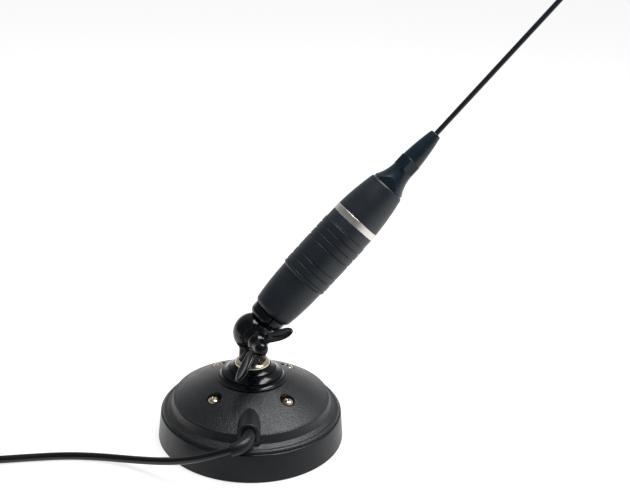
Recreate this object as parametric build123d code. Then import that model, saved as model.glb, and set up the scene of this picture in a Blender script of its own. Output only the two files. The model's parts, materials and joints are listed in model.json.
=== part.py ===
from build123d import *
from math import asin, cos, degrees, pi, radians, sin, tan
import os

# Loaded mobile radio antenna on a round magnetic base, in millimetres.
# The base stands on the floor with its axis on +Z and its pulling face at z = 0.
# The antenna tilts in the XZ plane about a joint whose axis runs along Y.

os.makedirs("parts", exist_ok=True)

# Clearances
thread_gap = 0.05          # screwed pieces, radial
slip_gap = 0.1             # pieces that slide together and stay put, radial
wall_gap = 0.25            # shells over what they cover, radial
joint_gap = 0.3            # curved faces that move past each other
pin_gap = 0.05             # running fit of a shaft in its hole, radial

# Rubber boot and its sole
boot_foot_radius = 62.5
boot_top_radius = 60.8
boot_height = 19.3
boot_wall = 2.4
boot_sole = 1.2
boot_foot_chamfer = 0.8
boot_lip_round = 0.9

# Steel cup, centre pole and ring magnet
pot_radius = boot_top_radius - boot_wall - slip_gap
pot_wall = 3.0
pot_plate = 4.0
pot_height = 15.8
pot_shoulder_round = 2.5
pole_radius = 14.0
magnet_radius = 50.0
magnet_bore_radius = 19.0

# Dome cover
cover_wall = 2.5
cover_skirt_radius = pot_radius - wall_gap
seam_height = 0.35
flange_radius = 59.7
flange_side = 0.3
ledge_edge_radius = 57.0
ledge_edge_height = 1.8
ledge_bulge = 0.5
rim_foot_radius = 54.0
rim_foot_height = 3.4
rim_top_radius = 52.7
rim_edge_round = 1.3
rim_height = 5.95
dome_rise = 13.65
dome_bulge = 0.5
cone_seat_radius = 23.8
cover_top_wall = 3.0

# Cover screws
screw_circle = 67.2
screw_count = 4
screw_radius = 1.95
screw_head_radius = 3.75
screw_head_height = 2.9
screw_crown_start = 1.0
screw_length = 22.5
screw_recess_length = 4.9
screw_recess_width = 1.1
screw_recess_depth = 1.5
pocket_radius = 5.0
pocket_floor_height = 35.9
pocket_wall = 1.5
post_wall = 2.3
collar_drop = 0.4

# Cable hump, turned from the tilt plane as it stands in the photograph
hump_heading = -14.0
hump_half_width = 7.3
hump_centre_height = 30.5
hump_reach = 54.7
hump_root_reach = 26.0
hump_opening_radius = 4.8
hump_opening_root = 33.0
hump_opening_foot = 25.6
hump_edge_round = 0.9

# Mount cone
lip_radius = 23.2
lip_height = 1.5
cone_tiers = ((19.8, 3.3, 0.7), (15.3, 7.0, 0.7))
tier_hollow = 0.2
cone_top_radius = 12.5
cone_height = 10.4
cone_shelf_depth = 2.1
cone_neck_radius = 9.5
cone_neck_length = 6.6
cone_bore_radius = 7.0
cone_counterbore_depth = 1.5

# Mount nut and what passes through the cone
mount_nut_flats = 26.0
mount_nut_height = 3.0
contact_ring_radius = 11.8
contact_ring_height = 4.4
contact_ring_chamfer = 0.4
insulator_flange_radius = 8.8
insulator_overhang = 1.1
stud_radius = 2.5
stud_head_radius = 4.0
stud_head_height = 9.0
lug_thickness = 0.8
lug_ring_radius = 5.6
lug_tongue_width = 5.0
lug_tongue_reach = 17.0
stud_nut_flats = 8.0
stud_nut_height = 3.0
stud_tail = 1.3

# Ball joint
hinge_height = 75.0
rest_tilt = 42.2
ball_radius = 12.0
stem_radius = 9.0
stem_fillet = 1.4
split_gap = 0.3
washer_seat_depth = 10.6
disc_radius = 8.0
disc_recess = 0.9
shank_radius = 2.95
shank_hole_gap = 0.25
shank_reach = 9.0
neck_radius = 12.1
neck_start = 13.3
neck_end = 17.7
neck_foot_radius = 8.1
neck_foot_start = 9.5
neck_bulge = 0.9
spigot_radius = 8.0
spigot_length = 11.5

# Washer and wing screw
washer_radius = 5.6
washer_thickness = 1.3
washer_slit = 1.0
hub_radius = 8.1
hub_centre = 16.0
wing_heading = 43.0
wing_thickness = 2.6
wing_round = 0.9
wing_dish = 0.45

# Coil housing, as stations along the antenna from the hinge
housing_start = neck_end + 0.3
housing_foot_radius = 12.2
housing_chamfer_radius = 13.7
housing_chamfer_height = 1.9
housing_mid_height = 20.0
housing_mid_radius = 15.5
rib_start = 49.6
rib_radius = 16.7
rib_root_radius = 15.75
rib_end = 90.6
plain_radius = 16.25
housing_end = 97.1
groove_pitch = 5.25
groove_width = 1.3
groove_depth = 0.5
lower_groove_start = 51.9
lower_groove_count = 3
upper_groove_start = 74.3
upper_groove_count = 4
housing_lower_bore = 11.6
housing_step_height = 36.0
housing_bore = 13.6
housing_floor = 2.0

# Trim ring and upper housing
trim_height = 4.6
trim_radius = 16.35
upper_foot_radius = 16.1
upper_height = 28.2
upper_shoulder_radius = 12.6
upper_shoulder_drop = 1.9
upper_top_radius = 11.5
upper_bulge = 0.45
upper_edge_bulge = 0.3
upper_wall = 2.3

# Inner pieces of the antenna
ferrule_height = 15.0
ferrule_step = 2.0
ferrule_gap = 0.1
former_radius = 12.0
former_wall = 2.0
former_end = 16.2
former_taper = 6.0
winding_radius = 12.9
winding_start = 42.0
winding_end = 92.0

# Whip adaptor
adaptor_gap = 0.1
adaptor_foot_radius = 11.3
adaptor_foot_height = 1.4
adaptor_top_radius = 7.2
adaptor_height = 13.0
adaptor_waist = 0.9
adaptor_flat_distance = 8.9
adaptor_flat_heading = -123.0
adaptor_stud_radius = 5.5
adaptor_stud_length = 17.0
adaptor_nose_radius = 4.4
adaptor_nose_length = 9.0
adaptor_bore_depth = 29.0

# Collet nut and collet
hex_flats = 14.2
hex_height = 8.6
hex_chamfer_radius = 7.9
sleeve_foot_radius = 6.95
sleeve_top_radius = 3.85
sleeve_height = 22.9
sleeve_bulge = 0.35
collet_radius = 3.1
collet_tip_radius = 2.3
collet_length = 12.0
collet_slit = 0.6
collet_slit_length = 8.0

# Whip
whip_radius = 1.7
whip_inner_depth = 14.0
whip_end = 430.0

# Cable and its strain relief
cable_radius = 2.5
core_radius = 0.8
core_length = 6.0
relief_radius = 4.6
relief_end_radius = 4.1
relief_start_reach = 47.0
relief_bend_radius = 10.0

# The cable's route from the strain relief, over the base's edge and along the floor
cable_points = [
    (-26.5, -63.6, 27.8),
    (-37.0, -60.8, 24.0),
    (-47.0, -55.8, 19.4),
    (-56.3, -49.2, 15.0),
    (-65.6, -41.0, 10.8),
    (-75.8, -31.6, 6.8),
    (-88.2, -22.4, 3.9),
    (-103.5, -14.3, 2.5),
    (-124.0, -8.6, 2.5),
    (-149.0, -6.0, 2.5),
    (-176.0, -4.2, 2.7),
    (-200.0, -1.6, 3.1),
    (-217.0, -2.5, 3.1),
]

# Put-away coil: the lead goes round and the tail comes off its top
coil_centre = (-217.0, -40.0)
coil_middle_radius = 30.0
coil_section = 20.0
coil_lift = 0.6
coil_corner = 4.5
tie_width = 8.0
tie_heading = 20.0

# The tail from the coil's top turn to the plug
tail_points = [
    (-252.0, -28.0, 18.1),
    (-257.2, -40.3, 17.6),
    (-257.9, -53.8, 14.0),
    (-253.5, -66.2, 9.6),
    (-245.6, -77.2, 7.2),
    (-235.0, -84.9, 7.6),
    (-222.5, -88.4, 9.3),
    (-209.5, -88.4, 9.3),
]

# Coaxial plug, along +X from the tail's end
plug_origin = tail_points[-1]
plug_rear_radius = 5.2
plug_rear_length = 11.0
plug_barrel_radius = 6.3
plug_barrel_length = 8.5
plug_flange_radius = 7.5
plug_flange_length = 3.0
plug_sleeve_radius = 6.0
plug_sleeve_length = 4.0
ring_radius = 9.3
ring_length = 17.0
ring_lip = 2.2
ring_thread_radius = 7.95
ring_flute_count = 20
ring_flute_radius = 0.9
ring_flute_margin = 3.0
insulator_radius = 5.0
insulator_length = 3.0
plug_pin_radius = 1.98
plug_pin_root_radius = 2.4
plug_pin_round = 1.2
plug_pin_reach = 11.0

# Heights that follow from the sizes above
pot_top = boot_sole + pot_height
magnet_height = pot_height - pot_plate
seam_top = boot_height + seam_height
ledge_edge = seam_top + ledge_edge_height
rim_foot = seam_top + rim_foot_height
dome_edge = rim_foot + rim_height
seat_height = dome_edge + dome_rise
post_radius = screw_radius + post_wall
cone_top = seat_height + cone_height
cone_shelf = cone_top - cone_shelf_depth
neck_foot = seat_height - cone_neck_length
stem_foot = cone_shelf
stud_shoulder = cone_shelf
insulator_foot = neck_foot - insulator_overhang
lug_foot = insulator_foot - lug_thickness
stud_foot = lug_foot - stud_nut_height - stud_tail
upper_start = housing_end + trim_height
adaptor_start = upper_start + upper_height + adaptor_gap
adaptor_end = adaptor_start + adaptor_foot_height + adaptor_height
hex_end = adaptor_end + hex_height
sleeve_end = hex_end + sleeve_height
whip_start = adaptor_end - whip_inner_depth
coil_top = coil_lift + coil_section


def turned(*edges):
    """Turn an outline of (radius, height) edges, drawn in the XZ plane, about Z."""
    return revolve(Plane.XZ * make_face(edges), Axis.Z)


def turned_points(*points):
    """Turn a closed polygon of (radius, height) points about Z."""
    return turned(Polyline(*points, close=True))


def shoulder(radius, height, size):
    """Quarter-round corner in the XZ plane from an outer wall to the flat top above it."""
    foot = (radius, height - size)
    middle = (radius - size * (1 - cos(pi / 4)), height - size * (1 - sin(pi / 4)))
    return ThreePointArc(foot, middle, (radius - size, height))


def rod(radius, low, high):
    """Solid cylinder on Z between two heights."""
    return Pos(0, 0, low) * extrude(Circle(radius), high - low)


def tube(outer, inner, low, high):
    """Open cylinder on Z between two heights."""
    return Pos(0, 0, low) * extrude(Circle(outer) - Circle(inner), high - low)


def hexagon(across_flats, low, high):
    """Six-sided prism on Z, sized across its flats."""
    side = RegularPolygon(across_flats / 2, 6, major_radius=False)
    return Pos(0, 0, low) * extrude(side, high - low)


def on_hinge(shape):
    """Take a shape turned on Z to the hinge, with its +Z towards the viewer's side, -Y."""
    return Pos(0, 0, hinge_height) * Rot(90, 0, 0) * shape


def on_antenna(shape):
    """Take a shape built upright, with the hinge at its origin, to the tilted antenna."""
    return Pos(0, 0, hinge_height) * Rot(0, rest_tilt, 0) * shape


def on_hump(shape):
    """Turn a shape drawn with the hump along -Y to the hump's real heading."""
    return Rot(0, 0, hump_heading) * shape


def at_screws(shape):
    """Copies of a shape on Z at the four cover screws."""
    places = PolarLocations(screw_circle / 2, screw_count, start_angle=45)
    return [on_hump(place * shape) for place in places]


def on_plug(shape):
    """Lay a shape turned on Z along +X behind the tail's end."""
    return Pos(*plug_origin) * Rot(0, 90, 0) * shape


def rounded_route(points, name):
    """Straight runs joined by arcs as large as each corner's two runs allow."""
    corners = [Vector(*point) for point in points]
    radii = []
    for before, corner, after in zip(corners, corners[1:], corners[2:]):
        arriving = corner - before
        leaving = after - corner
        half_turn = radians(arriving.get_angle(leaving)) / 2
        radii.append(0.45 * min(arriving.length, leaving.length) / tan(half_turn))
    print(name, "radii", [round(radius, 1) for radius in radii])
    return FilletPolyline(*corners, radius=radii)


def cord(points, radius, name):
    """Plain tube along a rounded route."""
    path = rounded_route(points, name)
    solid = sweep(Plane(path @ 0, z_dir=path % 0) * Circle(radius), path)
    share = solid.volume / (pi * radius ** 2 * path.length)
    print(name, "length", round(path.length, 1), "volume over section by length", round(share, 4))
    return solid


# Base

def rubber_boot():
    inner = pot_radius + slip_gap
    outer = Polyline(
        (0, 0),
        (boot_foot_radius - boot_foot_chamfer, 0),
        (boot_foot_radius, boot_foot_chamfer),
        (boot_top_radius, boot_height - boot_lip_round),
    )
    lip = shoulder(boot_top_radius, boot_height, boot_lip_round)
    inside = Polyline(
        (boot_top_radius - boot_lip_round, boot_height),
        (inner, boot_height),
        (inner, boot_sole),
        (0, boot_sole),
        (0, 0),
    )
    return turned(outer, lip, inside)


def steel_pot():
    plate_foot = pot_top - pot_plate
    cup = turned_points(
        (0, boot_sole),
        (pole_radius, boot_sole),
        (pole_radius, plate_foot),
        (pot_radius - pot_wall, plate_foot),
        (pot_radius - pot_wall, boot_sole),
        (pot_radius, boot_sole),
        (pot_radius, pot_top),
        (0, pot_top),
    )
    top_edges = cup.edges().filter_by(GeomType.CIRCLE).group_by(Axis.Z)[-1]
    cup = fillet(top_edges.sort_by(SortBy.RADIUS)[-1], pot_shoulder_round)
    hole = rod(screw_radius + thread_gap, plate_foot, pot_top)
    return cup - at_screws(hole)


def ring_magnet():
    return tube(magnet_radius, magnet_bore_radius, boot_sole, boot_sole + magnet_height)


def dome_outline(drop):
    """The dome's line from the rim to the cone's seat, or the same line set down by a drop."""
    edge = (rim_top_radius - rim_edge_round, dome_edge - drop)
    return SagittaArc(edge, (cone_seat_radius, seat_height - drop), -dome_bulge)


def hump_arch(half_width, centre, foot, near, far):
    """Prism with a half-round top that runs along -Y between two distances from the axis."""
    arch = make_face(
        Polyline((half_width, centre), (half_width, foot), (-half_width, foot), (-half_width, centre))
        + RadiusArc((-half_width, centre), (half_width, centre), half_width)
    )
    return Pos(0, -near, 0) * extrude(Plane.XZ * arch, far - near)


def cover_inside(low_radius):
    """The hollow under the cover, from the cup's top up, out to the skirt's inner face."""
    skirt_inner = cover_skirt_radius - cover_wall
    return [
        (low_radius, pot_top),
        (skirt_inner, pot_top),
        (skirt_inner, ledge_edge - cover_wall),
        (rim_top_radius - cover_wall, rim_foot - cover_wall / 2),
        (rim_top_radius - cover_wall, dome_edge - cover_wall),
        (cone_seat_radius, seat_height - cover_top_wall),
        (low_radius, seat_height - cover_top_wall),
    ]


def base_cover():
    flange_top = (flange_radius, seam_top + flange_side)
    ledge_top = (ledge_edge_radius, ledge_edge)
    skirt_foot = (cover_skirt_radius, pot_top)
    bore = cone_neck_radius + slip_gap
    shell = turned(
        Polyline(skirt_foot, (cover_skirt_radius, seam_top), (flange_radius, seam_top), flange_top),
        SagittaArc(flange_top, ledge_top, -ledge_bulge),
        Polyline(ledge_top, (rim_foot_radius, rim_foot), (rim_top_radius, dome_edge - rim_edge_round)),
        shoulder(rim_top_radius, dome_edge, rim_edge_round),
        dome_outline(0),
        Polyline((cone_seat_radius, seat_height), (bore, seat_height), (bore, pot_top), skirt_foot),
    )
    hump = hump_arch(hump_half_width, hump_centre_height, rim_foot - 1, hump_root_reach, hump_reach)
    front_edges = hump.edges().group_by(Axis.Y)[0].filter_by(GeomType.CIRCLE)
    hump = fillet(front_edges, hump_edge_round)
    opening = hump_arch(
        hump_opening_radius, hump_centre_height, hump_opening_foot, hump_opening_root, hump_reach + 1
    )
    cover = on_hump(shell + hump) - turned_points(*cover_inside(0)) - on_hump(opening)

    post = rod(post_radius, pot_top, seat_height)
    collar = rod(pocket_radius + pocket_wall, pocket_floor_height - cover_wall, seat_height)
    low = dome_edge - collar_drop
    high = seat_height - collar_drop
    dome = turned(
        Polyline((rim_top_radius - rim_edge_round, low), (0, low), (0, high), (cone_seat_radius, high)),
        dome_outline(collar_drop),
    )
    lower = rod(rim_top_radius - cover_wall, pot_top, dome_edge)
    for pillar in at_screws(post + collar):
        cover += pillar & (dome + lower)
    pocket = rod(pocket_radius, pocket_floor_height, seat_height + 1)
    hole = rod(screw_radius + wall_gap, pot_top - 1, seat_height)
    return cover - at_screws(pocket + hole)


def cover_screws():
    rim = (screw_head_radius, screw_crown_start)
    crown = ThreePointArc(
        rim,
        (screw_head_radius * 0.72, screw_head_height - 0.65),
        (0, screw_head_height),
    )
    head = turned(Polyline((0, screw_head_height), (0, 0), (screw_head_radius, 0), rim), crown)
    slot = Pos(0, 0, screw_head_height) * Box(
        screw_recess_length, screw_recess_width, 2 * screw_recess_depth
    )
    screw = head - slot - Rot(0, 0, 90) * slot + rod(screw_radius, -screw_length, 0)
    return Compound(at_screws(Pos(0, 0, pocket_floor_height) * screw))


# Mount

def mount_cone():
    lip_foot = (lip_radius - 0.5, 0)
    last = (lip_radius - 0.9, lip_height)
    skirt = [Line((cone_neck_radius, 0), lip_foot)]
    skirt.append(ThreePointArc(lip_foot, (lip_radius, lip_height / 2), last))
    for radius, height, step in cone_tiers:
        skirt.append(SagittaArc(last, (radius + step, height), tier_hollow))
        skirt.append(Polyline((radius + step, height), (radius, height), (radius, height + step)))
        last = (radius, height + step)
    skirt.append(SagittaArc(last, (cone_top_radius, cone_height), tier_hollow))
    ring_bore = contact_ring_radius + slip_gap
    flange_bore = insulator_flange_radius + slip_gap
    shelf = cone_height - cone_shelf_depth
    skirt.append(Polyline(
        (cone_top_radius, cone_height),
        (ring_bore, cone_height),
        (ring_bore, shelf),
        (flange_bore, shelf),
        (flange_bore, shelf - cone_counterbore_depth),
        (cone_bore_radius, shelf - cone_counterbore_depth),
        (cone_bore_radius, -cone_neck_length),
        (cone_neck_radius, -cone_neck_length),
        (cone_neck_radius, 0),
    ))
    return Pos(0, 0, seat_height) * turned(*skirt)


def mount_nut():
    low = seat_height - cover_top_wall - mount_nut_height
    high = low + mount_nut_height
    blank = hexagon(mount_nut_flats, low, high)
    return blank - rod(cone_neck_radius + thread_gap, low, high)


def contact_ring():
    ring = tube(contact_ring_radius, stem_radius + slip_gap, cone_shelf, cone_shelf + contact_ring_height)
    return chamfer(ring.edges().group_by(Axis.Z)[-1], contact_ring_chamfer)


def mount_insulator():
    flange_foot = cone_shelf - cone_counterbore_depth
    outer = cone_bore_radius - slip_gap
    inner = stud_radius + slip_gap
    return turned_points(
        (inner, insulator_foot),
        (outer, insulator_foot),
        (outer, flange_foot),
        (insulator_flange_radius, flange_foot),
        (insulator_flange_radius, cone_shelf),
        (inner, cone_shelf),
    )


def centre_stud():
    head = rod(stud_head_radius, stud_shoulder, stud_shoulder + stud_head_height)
    head = chamfer(head.edges().group_by(Axis.Z)[-1], 0.6)
    return head + rod(stud_radius, stud_foot, stud_shoulder)


def stud_nut():
    low = lug_foot - stud_nut_height
    return hexagon(stud_nut_flats, low, lug_foot) - rod(stud_radius + thread_gap, low, lug_foot)


def solder_lug():
    ring = Circle(lug_ring_radius) + Pos(0, -lug_tongue_reach / 2) * RectangleRounded(
        lug_tongue_width, lug_tongue_reach, lug_tongue_width / 2 - 0.2
    )
    plate = extrude(ring - Circle(stud_radius + slip_gap), lug_thickness)
    return on_hump(Pos(0, 0, lug_foot) * plate)


def inner_cable():
    core_height = lug_foot - core_radius
    jacket_end = lug_tongue_reach + 0.5
    route = [
        (0, -relief_start_reach, hump_centre_height),
        (0, -35.0, hump_centre_height),
        (0, -25.0, core_height - 0.6),
        (0, -jacket_end, core_height),
    ]
    jacket = cord(route, cable_radius, "inner_cable")
    core = extrude(Plane((0, -jacket_end, core_height), z_dir=(0, 1, 0)) * Circle(core_radius), core_length)
    return on_hump(jacket + core)


def cable_boot():
    leave, onward = [Vector(*point).rotate(Axis.Z, -hump_heading) for point in cable_points[:2]]
    back = (leave - onward) * (leave.X / (onward.X - leave.X))
    corner = leave + back * -1
    route = FilletPolyline(
        (0, -relief_start_reach, hump_centre_height),
        (0, corner.Y, hump_centre_height),
        leave,
        radius=relief_bend_radius,
    )
    start = Plane(route @ 0, z_dir=route % 0) * Circle(relief_radius)
    end = Plane(route @ 1, z_dir=route % 1) * Circle(relief_end_radius)
    return on_hump(sweep([start, end], route, multisection=True))


# Ball joint

def lower_knuckle():
    stem = rod(stem_radius, stem_foot, hinge_height)
    ball = Pos(0, 0, hinge_height) * Sphere(ball_radius)
    body = stem + ball
    seam = body.edges().filter_by(GeomType.CIRCLE).filter_by_position(
        Axis.Z, stem_foot + 1, hinge_height - 1
    )
    body = fillet(seam, stem_fillet)
    reach = 2 * ball_radius
    rear = Pos(0, reach / 2 - split_gap / 2, hinge_height) * Box(2 * reach, reach, 2 * reach)
    sweep_ball = Pos(0, 0, hinge_height) * Sphere(ball_radius + joint_gap)
    body -= rear & (sweep_ball + rod(2 * ball_radius, hinge_height - 1, hinge_height + 2 * ball_radius))
    nose = on_hinge(rod(ball_radius, washer_seat_depth, ball_radius + 1))
    hole = on_hinge(rod(shank_radius + shank_hole_gap, 0, ball_radius))
    recess = on_hinge(rod(disc_radius + slip_gap, 0, split_gap / 2 + disc_recess))
    bore = rod(stud_head_radius + thread_gap, stem_foot, stem_foot + stud_head_height + 0.5)
    return body - nose - hole - recess - bore


def friction_disc():
    hole = shank_radius + shank_hole_gap
    return on_hinge(tube(disc_radius, hole, -split_gap / 2, split_gap / 2 + disc_recess))


def upper_knuckle():
    swell = SagittaArc((neck_foot_radius, neck_foot_start), (neck_radius, neck_start), -neck_bulge)
    neck = turned(
        Polyline((0, spigot_length + neck_end), (0, 0), (neck_foot_radius, neck_foot_start)),
        swell,
        Polyline(
            (neck_radius, neck_start),
            (neck_radius, neck_end - 0.5),
            (neck_radius - 0.5, neck_end),
            (spigot_radius, neck_end),
            (spigot_radius, neck_end + spigot_length),
            (0, spigot_length + neck_end),
        ),
    )
    reach = 2 * ball_radius
    front = Pos(0, split_gap / 2 - reach / 2, 0) * Box(2 * reach, reach, 2 * reach)
    body = neck + Sphere(ball_radius) - (front & Sphere(ball_radius + joint_gap))
    hole = Rot(90, 0, 0) * rod(shank_radius + pin_gap, -shank_reach - 1.5, ball_radius)
    return on_antenna(body - hole)


def spring_washer():
    front = washer_seat_depth + washer_thickness
    ring = tube(washer_radius, shank_radius + slip_gap, washer_seat_depth, front)
    cut = Box(washer_radius, washer_slit, 3 * washer_thickness)
    slit = Pos(washer_radius / 2 + 1, 0, front - washer_thickness / 2) * Rot(0, 20, 0) * cut
    return on_hinge(ring - slit)


def wing_outline():
    """Outline of one wing in (distance from the screw's axis, distance towards the viewer)."""
    ear = Spline(
        (6.2, 15.4),
        (12.0, 20.2),
        (17.2, 24.8),
        (21.4, 29.4),
        (23.5, 33.4),
        (22.7, 36.2),
        (19.6, 36.8),
        (15.2, 34.0),
        (10.6, 28.8),
        (5.6, 22.6),
    )
    root = Polyline(ear @ 1, (1.0, 20.0), (1.0, 14.0), ear @ 0)
    return make_face([ear, root])


def wing_hollow():
    """The dished part of one wing's face, inside its rim and clear of the hub."""
    return make_face(Spline(
        (10.6, 21.4),
        (15.8, 25.6),
        (19.8, 29.9),
        (21.5, 33.2),
        (20.6, 34.8),
        (18.6, 34.4),
        (15.4, 31.2),
        (12.2, 27.2),
        (10.2, 23.6),
        periodic=True,
    ))


def wing_screw():
    seat = washer_seat_depth + washer_thickness
    hub = Pos(0, 0, hub_centre) * Sphere(hub_radius) - rod(hub_radius, 0, seat)
    ear = extrude(Plane.XZ * wing_outline(), wing_thickness / 2, both=True)
    edges = ear.edges().filter_by(Axis.Y, reverse=True).filter_by(GeomType.BSPLINE)
    ear = fillet(edges, wing_round)
    face = wing_thickness / 2 - wing_dish
    for side in (Plane.XZ.offset(face), Plane.XZ.offset(-face)):
        ear -= extrude(side * wing_hollow(), wing_dish * (1 if side.origin.Y < 0 else -1) * 2)
    screw = hub + ear + Rot(0, 0, 180) * ear
    screw += rod(shank_radius, -shank_reach, seat)
    return on_hinge(Rot(0, 0, wing_heading) * screw)


# Antenna

def groove_ring(station):
    """Round-bottomed groove cut round the ribbed zone at one station."""
    ring = Pos(rib_radius, station) * Ellipse(groove_depth, groove_width / 2)
    return revolve(Plane.XZ * ring, Axis.Z)


def coil_housing():
    chamfer_end = housing_start + housing_chamfer_height
    flank = Spline(
        (housing_chamfer_radius, chamfer_end),
        (housing_mid_radius, housing_start + housing_mid_height),
        (rib_root_radius, rib_start - 1.4),
        tangents=((0.14, 1), (0, 1)),
    )
    spigot_hole = spigot_radius + slip_gap
    outer = Polyline((spigot_hole, housing_start), (housing_foot_radius, housing_start), flank @ 0)
    ribbed = Polyline(
        flank @ 1,
        (rib_root_radius, rib_start - 1.0),
        (rib_radius - 0.3, rib_start),
        (rib_radius, rib_start + 0.5),
        (rib_radius, rib_end - 0.3),
        (plain_radius, rib_end),
        (plain_radius, housing_end),
        (housing_bore, housing_end),
        (housing_bore, housing_step_height),
        (housing_lower_bore, housing_step_height - 3),
        (housing_lower_bore, housing_start + housing_floor),
        (spigot_hole, housing_start + housing_floor),
        (spigot_hole, housing_start),
    )
    housing = turned(outer, flank, ribbed)
    for first, count in ((lower_groove_start, lower_groove_count), (upper_groove_start, upper_groove_count)):
        for index in range(count):
            housing -= groove_ring(first + index * groove_pitch)
    return on_antenna(housing)


def trim_ring():
    ring = tube(trim_radius, housing_bore, housing_end, upper_start)
    outer_edges = ring.edges().filter_by(GeomType.CIRCLE).sort_by(SortBy.RADIUS)[-2:]
    return on_antenna(chamfer(outer_edges, 0.2))


def upper_housing():
    top = upper_start + upper_height
    turn = (upper_shoulder_radius, top - upper_shoulder_drop)
    flank = SagittaArc((upper_foot_radius, upper_start), turn, -upper_bulge)
    edge = SagittaArc(turn, (upper_top_radius, top), -upper_edge_bulge)
    hole = adaptor_stud_radius + slip_gap
    inside = Polyline(
        (upper_top_radius, top),
        (hole, top),
        (hole, top - upper_wall),
        (upper_top_radius - upper_wall + 0.4, top - upper_wall),
        (housing_bore, upper_start + 4),
        (housing_bore, upper_start),
        (upper_foot_radius, upper_start),
    )
    return on_antenna(turned(flank, edge, inside))


def base_ferrule():
    low = housing_start + housing_floor
    outer = housing_lower_bore - ferrule_gap
    high = low + ferrule_height
    cup = tube(outer, spigot_radius + thread_gap, low, high)
    step = tube(outer + 1, former_radius - former_wall, high - ferrule_step, high)
    return on_antenna(cup - step)


def coil_former():
    low = housing_start + housing_floor + ferrule_height
    high = upper_start + former_end
    inner = former_radius - 2 * former_wall
    return on_antenna(turned_points(
        (inner, low),
        (former_radius, low),
        (former_radius, high - former_taper),
        (former_radius - former_wall - ferrule_gap, high),
        (inner, high),
    ))


def coil_winding():
    return on_antenna(tube(winding_radius, former_radius + slip_gap, winding_start, winding_end))


def whip_adaptor():
    foot_top = adaptor_start + adaptor_foot_height
    flare = SagittaArc((adaptor_foot_radius, foot_top), (adaptor_top_radius, adaptor_end), adaptor_waist)
    bore = whip_radius + slip_gap
    stud_foot_height = adaptor_start - adaptor_stud_length
    body = turned(
        Polyline(
            (0, stud_foot_height),
            (adaptor_stud_radius, stud_foot_height),
            (adaptor_stud_radius, adaptor_start),
            (adaptor_foot_radius - 0.3, adaptor_start),
            (adaptor_foot_radius, adaptor_start + 0.3),
            (adaptor_foot_radius, foot_top),
        ),
        flare,
        Polyline(
            (adaptor_top_radius, adaptor_end),
            (adaptor_nose_radius, adaptor_end),
            (adaptor_nose_radius, adaptor_end + adaptor_nose_length),
            (0, adaptor_end + adaptor_nose_length),
            (0, stud_foot_height),
        ),
    )
    body -= rod(bore, adaptor_end - adaptor_bore_depth, adaptor_end + adaptor_nose_length)
    side = Pos(adaptor_flat_distance + 5, 0, adaptor_start + 5) * Box(10, 40, 10)
    flats = side + Rot(0, 0, 180) * side
    limit = rod(adaptor_foot_radius + 1, adaptor_start, adaptor_end - 0.1)
    return on_antenna(body - Rot(0, 0, adaptor_flat_heading) * (flats & limit))


def whip_holder():
    hexagonal = hexagon(hex_flats, adaptor_end, hex_end)
    lathe = turned_points(
        (0, adaptor_end),
        (hex_chamfer_radius - 0.6, adaptor_end),
        (hex_chamfer_radius, adaptor_end + 0.5),
        (hex_chamfer_radius, hex_end - 0.7),
        (sleeve_foot_radius, hex_end),
        (0, hex_end),
    )
    flank = SagittaArc((sleeve_foot_radius, hex_end), (sleeve_top_radius, sleeve_end - 0.6), -sleeve_bulge)
    sleeve = turned(
        flank,
        Polyline(
            (sleeve_top_radius, sleeve_end - 0.6),
            (sleeve_top_radius - 0.6, sleeve_end),
            (0, sleeve_end),
            (0, hex_end),
            (sleeve_foot_radius, hex_end),
        ),
    )
    nose_end = adaptor_end + adaptor_nose_length + 0.2
    collet_end = nose_end + collet_length
    cavity = turned_points(
        (0, adaptor_end),
        (adaptor_nose_radius + thread_gap, adaptor_end),
        (adaptor_nose_radius + thread_gap, nose_end),
        (collet_radius + slip_gap, nose_end),
        (collet_tip_radius + slip_gap, collet_end),
        (whip_radius + slip_gap, collet_end),
        (whip_radius + slip_gap, sleeve_end),
        (0, sleeve_end),
    )
    return on_antenna((hexagonal & lathe) + sleeve - cavity)


def whip_collet():
    low = adaptor_end + adaptor_nose_length + 0.1
    high = low + collet_length
    cone = turned_points(
        (whip_radius + pin_gap, low),
        (collet_radius, low),
        (collet_tip_radius, high),
        (whip_radius + pin_gap, high),
    )
    slit = Pos(0, 0, high - collet_slit_length / 2) * Box(3 * collet_radius, collet_slit, collet_slit_length)
    return on_antenna(cone - slit - Rot(0, 0, 90) * slit)


def whip():
    tip = Pos(0, 0, whip_end - whip_radius) * Sphere(whip_radius)
    return on_antenna(rod(whip_radius, whip_start, whip_end - whip_radius) + tip)


# Put-away cable and its plug

def cable_coil():
    section = RectangleRounded(coil_section, coil_section, coil_corner)
    ring = revolve(Plane.XZ * (Pos(coil_middle_radius, coil_lift + coil_section / 2) * section), Axis.Z)
    return Pos(*coil_centre, 0) * ring


def coil_tie():
    inner = RectangleRounded(coil_section, coil_section, coil_corner)
    side = coil_section + 2 * coil_lift
    outer = RectangleRounded(side, side, coil_corner + coil_lift)
    half = degrees(asin(tie_width / 2 / coil_middle_radius))
    place = Pos(coil_middle_radius, coil_lift + coil_section / 2)
    band = revolve(Plane.XZ * (place * (outer - inner)), Axis.Z, 2 * half)
    return Pos(*coil_centre, 0) * Rot(0, 0, tie_heading) * band


def plug_body():
    barrel_start = plug_rear_length
    flange_start = barrel_start + plug_barrel_length
    sleeve_start = flange_start + plug_flange_length
    end = sleeve_start + plug_sleeve_length
    seat = insulator_radius + slip_gap
    return on_plug(turned_points(
        (0, 0),
        (plug_rear_radius - 0.6, 0),
        (plug_rear_radius, 0.6),
        (plug_rear_radius, barrel_start),
        (plug_barrel_radius, barrel_start + 1.0),
        (plug_barrel_radius, flange_start),
        (plug_flange_radius, flange_start),
        (plug_flange_radius, sleeve_start),
        (plug_sleeve_radius, sleeve_start),
        (plug_sleeve_radius, end),
        (seat, end),
        (seat, end - insulator_length),
        (0, end - insulator_length),
    ))


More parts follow.
